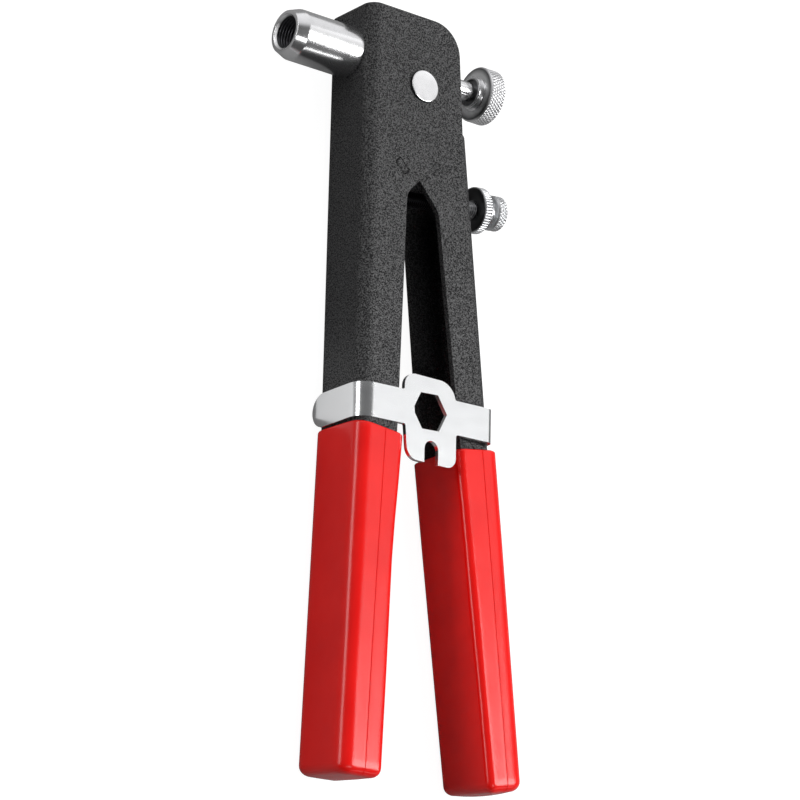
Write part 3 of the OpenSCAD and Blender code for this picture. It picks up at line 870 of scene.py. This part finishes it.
@dataclass
class StopScrewSet:
    """The threaded stop screw with its knurled thumb head, and the ribbed lock nut on it."""

    tip: float = -21.9
    screw: float = 2.5
    nut_front: float = 24.75
    nut_thick: float = 3.4
    nut_radius: float = 7.25
    neck_front: float = 28.45
    neck: float = 3.8
    thumb_front: float = 31.75
    thumb_long: float = 3.8
    thumb_radius: float = 5.5
    thread_depth: float = 0.42
    pitch: float = 0.8
    knurl_depth: float = 0.28
    knurl_teeth: int = 32
    knurl_lead: float = 0.62
    rib_depth: float = 0.32
    ribs: int = 48
    groove_shade: float = 0.48
    face_shade: float = 0.58
    inner_shade: float = 0.7
    inner_end: float = 19.0

    def screw_profile(self) -> np.ndarray:
        """Closed half section of the screw from its tip to the thumb head's rear face.

        Returns:
            The profile's points of (along, radius).
        """
        end, r = self.thumb_front + self.thumb_long, self.thumb_radius
        outline = rounded_profile([
            (self.tip, 0.0, 0.0),
            (self.tip, self.screw - 0.9, 0.1),
            (self.tip + 0.9, self.screw, 0.0),
            (self.neck_front, self.screw, 0.0),
            (self.neck_front, self.neck, 0.2),
            (self.thumb_front, self.neck, 0.15),
            (self.thumb_front, r - 0.6, 0.15),
            (self.thumb_front + 0.6, r, 0.1),
            (end - 0.6, r, 0.1),
            (end, r - 0.6, 0.15),
            (end, 0.0, 0.0)])
        return refined(refined(outline, 0.2, [self.screw]), 0.1, [r])

    def screw_relief(self, along: np.ndarray, radius: np.ndarray, angle: np.ndarray) -> np.ndarray:
        """Radius change of the screw: the sum of its thread and the knurl of its thumb head.

        Args:
            along: Place along the axis.
            radius: Plain radius.
            angle: Angle round the axis.

        Returns:
            What is added to the radius.
        """
        thread = Thread(self.tip + 0.8, self.neck_front + 0.5, self.screw, -self.thread_depth, self.pitch)
        knurl = Knurl(self.thumb_front + 0.5, self.thumb_front + self.thumb_long - 0.5, self.thumb_radius,
                      self.knurl_depth, self.knurl_teeth, self.knurl_lead)
        return thread.relief(along, radius, angle) + knurl.relief(along, radius, angle)

    def nut_profile(self) -> np.ndarray:
        """Closed half section of the lock nut.

        Returns:
            The profile's points of (along, radius).
        """
        front, rear, r, bore = self.nut_front, self.nut_front + self.nut_thick, self.nut_radius, self.screw + 0.05
        return refined(rounded_profile([
            (front + 0.5, bore, 0.0),
            (front, bore + 0.6, 0.0),
            (front, r - 0.55, 0.2),
            (front + 0.5, r, 0.1),
            (rear - 0.5, r, 0.1),
            (rear, r - 0.55, 0.2),
            (rear, bore, 0.0)]), 0.2, [r])

    def build(self, finishes: Finishes) -> None:
        """Turn the screw and the nut and settle each on its own body.

        Args:
            finishes: The materials by slot.
        """
        profile = self.screw_profile()
        screw, depth = turned(profile, 8 * self.knurl_teeth, self.screw_relief)
        # Painted shade: both pieces are satin with darkened grooves; the screw is darkened where it lies inside the
        # lever, and so is the nut's front face.
        depth = np.maximum(SATIN + self.groove_shade * depth, self.inner_shade * (profile[:, :1] < self.inner_end))
        settle(piece_from_grid("thumb_screw", SCREW.to_part(screw), True, 50.0, depth), Body.STOP_SCREW, Slot.ZINC,
               finishes, "stop_screw")
        ribs = Knurl(self.nut_front + 0.35, self.nut_front + self.nut_thick - 0.35, self.nut_radius,
                     self.rib_depth, self.ribs, 0.0)
        profile = self.nut_profile()
        nut, depth = turned(profile, 10 * self.ribs, ribs.relief)
        face = profile[:, :1] < self.nut_front + 0.2
        depth = np.maximum(SATIN + self.groove_shade * depth, self.face_shade * face)
        settle(piece_from_grid("ribbed_lock_nut", SCREW.to_part(nut), True, 50.0, depth), Body.LOCK_NUT, Slot.ZINC,
               finishes, "lock_nut")


@dataclass
class Grip:
    """A moulded sleeve over one handle, lofted through rounded sections, with its mould seams.

    Knots are (y, value) pairs in the handle's axes, from the mouth down.
    """

    name: str
    node: str
    body: Body
    axes: Axes
    top: float
    foot: float
    front: Sequence[tuple[float, float]]
    rear: Sequence[tuple[float, float]]
    half: Sequence[tuple[float, float]]
    seam: Sequence[tuple[float, float]]
    front_r: float
    rear_r: float
    inner_front: Sequence[tuple[float, float]]
    inner_rear: Sequence[tuple[float, float]]
    inner_half: float
    inner_foot: float
    mouth_rise: float = 0.0
    mouth_lean: tuple[float, float] = (0.0, 0.0)
    mouth_reach: float = 14.0
    sway: float = 0.1
    sway_long: float = 9.0
    sway_from: float = 18.0
    rim: float = 0.8
    end_r: float = 3.0
    end_drop: float = 0.0
    end_lean: tuple[float, float] = (0.0, 0.0)
    end_reach: float = 20.0
    dome: float = 0.7
    bow: float = 0.12

    @staticmethod
    def along(knots: Sequence[tuple[float, float]], y: np.ndarray) -> np.ndarray:
        """Value between the knots at each height."""
        at = np.array(sorted(knots))
        return np.interp(y, at[:, 0], at[:, 1])

    def rows(self) -> tuple[np.ndarray, ...]:
        """Heights, front, rear, half widths and corner radii of the sections, inside first.

        The rim and the foot are quarter rounds, and the walls between them follow the knots and a slight sine.

        Returns:
            Arrays y, front, rear, half, front radius, rear radius, one value a section.
        """
        quarter = np.linspace(0.0, math.pi / 2, 7)
        inside = np.linspace(self.inner_foot, self.top - 0.25, 6)
        rim_y = self.top - self.rim * (1.0 - np.cos(quarter))
        rim_in = self.rim * (1.0 - np.sin(quarter))
        body_y = np.linspace(self.top - self.rim, self.foot + self.end_r, 70)[1:-1]
        end_y = self.foot + self.end_r * (1.0 - np.sin(quarter))
        end_in = self.end_r * (1.0 - np.cos(quarter))
        y = np.concatenate([rim_y, body_y, end_y])
        inset = np.concatenate([rim_in, np.zeros_like(body_y), end_in])
        sway = self.sway * np.sin(y / self.sway_long + 0.6) * (inset < 0.01)
        sway = sway * smoothstep(0.0, self.sway_from, self.top - y)
        front = self.along(self.front, y) + inset - 0.5 * sway
        rear = self.along(self.rear, y) - inset + 0.6 * sway
        half = self.along(self.half, y) - inset + 0.3 * sway
        within = (self.along(self.inner_front, inside), self.along(self.inner_rear, inside),
                  np.full_like(inside, self.inner_half))
        front, rear, half = (np.concatenate(p) for p in zip(within, (front, rear, half)))
        shrink = np.concatenate([np.full_like(inside, 1.2), 0.8 * inset])
        wander = np.concatenate([np.zeros_like(inside), 1.5 * sway])
        return (np.concatenate([inside, y]), front, rear, half,
                self.front_r - shrink + wander, self.rear_r - shrink + wander)

    def grid(self) -> np.ndarray:
        """Points of the sleeve: rounded rectangles lofted along the handle, closed at both ends.

        Each side carries a mould seam, a narrow groove between faint lips: the difference of two bell curves.

        Returns:
            Points as rows x columns x 3 in the part's frame.
        """
        y, front, rear, half, rf, rr = (v[:, None] for v in self.rows())
        arc = np.linspace(0.0, math.pi / 2, 9)[None, :]
        seam = np.clip(self.along(self.seam, y), front + rf + 1.0, rear - rr - 1.0)
        fine = np.array([-0.5, -0.22, -0.12, -0.05, 0.0, 0.05, 0.12, 0.22, 0.5])[None, :]
        coarse = np.linspace(0.0, 1.0, 5)[None, 1:]
        lead = front + rf + (seam - 0.5 - front - rf) * coarse[:, :-1]
        trail = seam + 0.5 + (rear - rr - seam - 0.5) * coarse[:, :-1]
        side_x = np.concatenate([lead, seam + fine, trail], 1)
        groove, groove_wide, lip, lip_wide = 0.16, 0.09, 0.06, 0.3
        off = side_x - seam
        cut = groove * np.exp(-((off / groove_wide) ** 2)) - lip * np.exp(-((off / lip_wide) ** 2))
        side_z = half - cut
        cross = np.linspace(-1.0, 1.0, 9)[None, 1:-1]
        near_front = (front + rf - rf * np.cos(arc), half - rf + rf * np.sin(arc))
        near_rear = (rear - rr + rr * np.sin(arc), half - rr + rr * np.cos(arc))
        bow = self.bow * (1.0 - cross**2)
        x = np.concatenate([near_front[0], side_x, near_rear[0], rear + bow, near_rear[0][:, ::-1],
                            side_x[:, ::-1], near_front[0][:, ::-1], front - bow], 1)
        z = np.concatenate([near_front[1], side_z, near_rear[1], -(half - rr) * cross, -near_rear[1][:, ::-1],
                            -side_z[:, ::-1], -near_front[1][:, ::-1], (half - rf) * cross], 1)
        slant = self.mouth_rise + self.mouth_lean[0] * (x - front) + self.mouth_lean[1] * z
        slant = slant * smoothstep(self.top - self.mouth_reach, self.top - 1.0, y)
        middle = (front + rear) / 2
        sag = self.end_lean[0] * (x - middle) + self.end_lean[1] * z - self.end_drop
        sag = sag * smoothstep(self.foot + self.end_reach, self.foot, y)
        ring = np.stack([x, y + slant + sag, z], -1)
        scale = np.array([0.66, 0.33, 0.0])[:, None, None]
        first, last = ring[:1], ring[-1:]
        head = first.mean(1, keepdims=True) + (first - first.mean(1, keepdims=True)) * scale[::-1]
        tail = last.mean(1, keepdims=True) + (last - last.mean(1, keepdims=True)) * scale
        tail = tail - np.array([0.0, self.dome, 0.0]) * (1.0 - scale**2)
        return self.axes.to_part(np.concatenate([head, ring, tail]))

    def build(self, finishes: Finishes) -> None:
        """Loft the sleeve and settle it on its handle.

        Args:
            finishes: The materials by slot.
        """
        piece = piece_from_grid(self.name, self.grid(), False, 50.0)
        settle(piece, self.body, Slot.RED_GRIP, finishes, self.node)


def front_sleeve() -> Grip:
    """The sleeve on the frame's arm, flared at its mouth.

    Returns:
        The sleeve, ready to build.
    """
    return Grip(
        name="front_sleeve", node="front_grip", body=Body.FRAME, axes=KNEE, top=-4.8, foot=-108.0,
        front=[(-5.8, -0.9), (-60.0, -0.9), (-108.0, -0.9)],
        rear=[(-5.8, 16.4), (-19.0, 15.9), (-32.0, 15.2), (-44.0, 14.8), (-80.0, 14.8), (-108.0, 14.6)],
        half=[(-5.8, 11.9), (-108.0, 11.9)],
        seam=[(-5.8, 8.7), (-58.0, 7.9), (-108.0, 7.5)],
        front_r=4.9, rear_r=2.8,
        inner_front=[(-5.8, 0.15), (-102.0, 3.2)], inner_rear=[(-5.8, 13.9), (-102.0, 13.1)],
        inner_half=10.98, inner_foot=-101.0, mouth_rise=0.78, mouth_lean=(-0.072, -0.031),
        end_drop=0.7, end_lean=(0.05, -0.11))


def rear_sleeve() -> Grip:
    """The sleeve on the lever, straighter and boxier than the front one.

    Returns:
        The sleeve, ready to build.
    """
    return Grip(
        name="rear_sleeve", node="rear_grip", body=Body.LEVER, axes=LEVER, top=-113.0, foot=-215.0,
        front=[(-113.0, 3.35), (-215.0, 6.15)],
        rear=[(-113.0, 20.3), (-160.0, 20.4), (-215.0, 20.5)],
        half=[(-113.0, 11.6), (-140.0, 11.7), (-215.0, 11.6)],
        seam=[(-113.0, 12.4), (-160.0, 12.6), (-215.0, 12.9)],
        front_r=2.6, rear_r=5.4,
        inner_front=[(-113.0, 6.3), (-209.0, 8.9)], inner_rear=[(-113.0, 18.7), (-209.0, 18.7)],
        inner_half=8.9, inner_foot=-208.0, mouth_lean=(0.05, 0.0),
        end_drop=-0.3, end_lean=(0.1, -0.1))


@dataclass(frozen=True)
class SoftLamp:
    """A rectangular lamp in metres and watts, aimed at the middle of the tool unless told otherwise."""

    name: str
    place: tuple[float, float, float]
    size: tuple[float, float]
    watts: float
    target: tuple[float, float, float] = (0.045, -0.1, 0.0)

    def build(self) -> None:
        """Make the lamp and turn it to its target."""
        data = bpy.data.lights.new(self.name, "AREA")
        data.shape = "RECTANGLE"
        data.size, data.size_y = self.size
        data.energy = self.watts
        lamp = bpy.data.objects.new(self.name, data)
        aim = Vector(self.target) - Vector(self.place)
        lamp.matrix_world = Matrix.Translation(self.place) @ aim.to_track_quat("-Z", "Y").to_matrix().to_4x4()
        bpy.context.scene.collection.objects.link(lamp)


@dataclass
class Studio:
    """The white floor, the surroundings, the soft lamps and the camera.

    The camera's centre is in mm, and its turns about X, Y and Z are in degrees. The sky's stops are
    (place, level), with place 0 towards -Y and 1 towards +Y.
    """

    floor_z: float = -11.95
    floor_half: float = 6.0
    floor_grey: float = 0.2
    glow: float = 0.95
    mirrored_glow: float = 0.07
    sky: tuple[tuple[float, float], ...] = ((0.0, 0.06), (1.0, 0.95), (0.66, 0.10), (0.80, 0.75))
    lamps: tuple[SoftLamp, ...] = (
        SoftLamp("key", (0.73, -0.21, 0.99), (0.5, 1.1), 13.6),
        SoftLamp("card", (0.85, 0.38, 1.0), (0.72, 0.9), 1.38),
        SoftLamp("front", (-0.1, -0.75, 1.0), (0.6, 0.3), 1.8),
        SoftLamp("strip", (0.76, -0.97, 0.42), (1.0, 0.07), 0.9),
        SoftLamp("fill", (-1.1, 0.2, 0.27), (1.1, 0.3), 4.6),
        SoftLamp("bounce", (-0.012, -0.102, -0.0117), (0.066, 0.024), 0.0022, (-0.012, -0.102, 1.0)),
    )
    sensor: float = 36.0
    focal: float = 161.936
    centre: tuple[float, float, float] = (-583.9, -434.236, 809.348)
    turn_deg: tuple[float, float, float] = (16.7218, -38.3430, 1.6231)

    def camera(self) -> None:
        """Stand the camera where the photograph was taken from."""
        data = bpy.data.cameras.new("camera")
        data.sensor_width = self.sensor
        data.lens = self.focal
        data.clip_end = 50.0
        camera = bpy.data.objects.new("camera", data)
        turn = Euler([math.radians(a) for a in self.turn_deg]).to_matrix().to_4x4()
        camera.matrix_world = Matrix.Translation(Vector(self.centre) * MM) @ turn
        bpy.context.scene.collection.objects.link(camera)
        bpy.context.scene.camera = camera

    def world(self) -> None:
        """Grey surroundings, pale beyond the head and dark beyond the handles."""
        world = bpy.data.worlds.new("surroundings")
        world.use_nodes = True
        tree = world.node_tree
        tree.nodes.clear()
        where = tree.nodes.new("ShaderNodeTexCoord")
        split = tree.nodes.new("ShaderNodeSeparateXYZ")
        span = tree.nodes.new("ShaderNodeMapRange")
        span.inputs["From Min"].default_value = -1.0
        ramp = tree.nodes.new("ShaderNodeValToRGB")
        set_stops(ramp.color_ramp, [(place, (level, level, 1.01 * level)) for place, level in self.sky])
        sky = tree.nodes.new("ShaderNodeBackground")
        out = tree.nodes.new("ShaderNodeOutputWorld")
        tree.links.new(where.outputs["Generated"], split.inputs[0])
        tree.links.new(split.outputs["Y"], span.inputs["Value"])
        tree.links.new(span.outputs["Result"], ramp.inputs["Fac"])
        tree.links.new(ramp.outputs["Color"], sky.inputs["Color"])
        tree.links.new(sky.outputs[0], out.inputs["Surface"])
        bpy.context.scene.world = world

    def floor(self) -> None:
        """White floor that glows for the camera and faintly in reflections, and keeps the tool's shadow."""
        corner = np.array([[-1, -1, 0], [1, -1, 0], [1, 1, 0], [-1, 1, 0]]) * self.floor_half
        mesh = bpy.data.meshes.new("floor")
        mesh.from_pydata((corner + [0, 0, self.floor_z * MM]).tolist(), [], [(0, 1, 2, 3)])
        floor = bpy.data.objects.new("floor", mesh)
        bpy.context.scene.collection.objects.link(floor)
        material = bpy.data.materials.new("floor_white")
        material.use_nodes = True
        tree = material.node_tree
        tree.nodes.clear()
        path = tree.nodes.new("ShaderNodeLightPath")
        mirrored = tree.nodes.new("ShaderNodeMath")
        mirrored.operation = "MAXIMUM"
        tree.links.new(path.outputs["Is Glossy Ray"], mirrored.inputs[0])
        tree.links.new(path.outputs["Is Transmission Ray"], mirrored.inputs[1])
        faint = tree.nodes.new("ShaderNodeMath")
        faint.operation = "MULTIPLY"
        faint.inputs[1].default_value = self.mirrored_glow
        tree.links.new(mirrored.outputs[0], faint.inputs[0])
        level = tree.nodes.new("ShaderNodeMath")
        level.operation = "MULTIPLY_ADD"
        level.inputs[1].default_value = self.glow
        tree.links.new(path.outputs["Is Camera Ray"], level.inputs[0])
        tree.links.new(faint.outputs[0], level.inputs[2])
        glow = tree.nodes.new("ShaderNodeEmission")
        tree.links.new(level.outputs[0], glow.inputs["Strength"])
        paint = tree.nodes.new("ShaderNodeBsdfDiffuse")
        paint.inputs["Color"].default_value = (*(self.floor_grey,) * 3, 1.0)
        both = tree.nodes.new("ShaderNodeAddShader")
        out = tree.nodes.new("ShaderNodeOutputMaterial")
        tree.links.new(paint.outputs[0], both.inputs[0])
        tree.links.new(glow.outputs[0], both.inputs[1])
        tree.links.new(both.outputs[0], out.inputs["Surface"])
        mesh.materials.append(material)

    def build(self) -> None:
        """Set the view, the camera, the surroundings, the floor and the lamps."""
        bpy.context.scene.view_settings.view_transform = "Standard"
        self.camera()
        self.world()
        self.floor()
        for lamp in self.lamps:
            lamp.build()


def make_finishes() -> Finishes:
    """The materials of all slots.

    Returns:
        One material a slot.
    """
    return {
        Slot.POWDER_COAT: PowderCoat().material(),
        Slot.CHROME: PlatedMetal("chrome", (0.90, 0.90, 0.91), 0.17, 0.25, bump=0.012).material(),
        Slot.ZINC: PlatedMetal("zinc", (0.72, 0.73, 0.74), 0.16, 0.24, groove=(0.03, 0.03, 0.032)).material(),
        Slot.DARK_STEEL: PlatedMetal("dark_steel", (0.34, 0.34, 0.35), 0.3, 0.45).material(),
        Slot.RED_GRIP: MouldedGrip().material(),
        Slot.CLIP_PLATE: PlatedMetal("clip_plate", (0.90, 0.91, 0.92), 0.17, 0.23, 400.0, (0.3, 1.0, 1.0),
                                     mottle=0.97).material(),
    }


def main() -> None:
    """Load the frame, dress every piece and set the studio."""
    logging.basicConfig(level=logging.INFO, format="%(name)s: %(message)s")
    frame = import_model()
    finishes = make_finishes()
    PressedSheets().build(frame["nodes"], finishes)
    for part in (Nose(), PivotPin(), KnobAndSpindle(), StopScrewSet(), front_sleeve(), rear_sleeve()):
        part.build(finishes)
    Studio().build()
    bpy.context.view_layer.update()


if __name__ == "__main__":
    main()
